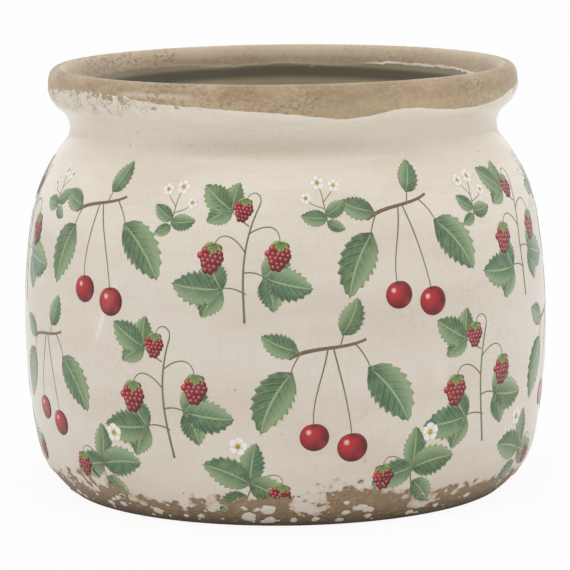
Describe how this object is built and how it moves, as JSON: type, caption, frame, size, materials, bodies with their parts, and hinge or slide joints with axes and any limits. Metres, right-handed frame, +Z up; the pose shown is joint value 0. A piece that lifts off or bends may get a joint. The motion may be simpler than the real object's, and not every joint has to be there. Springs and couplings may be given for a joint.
{
  "type": "cachepot",
  "caption": "Round-bellied ceramic cachepot with a rolled bare-clay lip, pinched neck, crackle-glazed belly and worn bare heel; holds a potted plant.",
  "frame": {"origin": "on the pot's axis, in the plane that it stands on", "axes": "+Z up along the pot's axis, -Y towards the side that the picture shows, +X to its right"},
  "size_m": [0.2, 0.2, 0.161],
  "materials": {
    "bare_clay": "matt, pitted, brown-stained bisque",
    "cream_glaze": "glossy fine-crackled cream glaze with fired-on fruit-sprig transfers",
    "inner_glaze": "glossy greyish cream glaze"
  },
  "bodies": {
    "root": {"clay_body": "bare_clay", "outer_glaze": "cream_glaze", "inner_glaze": "inner_glaze", "heel_glaze_flecks": "cream_glaze"}
  },
  "joints": []
}
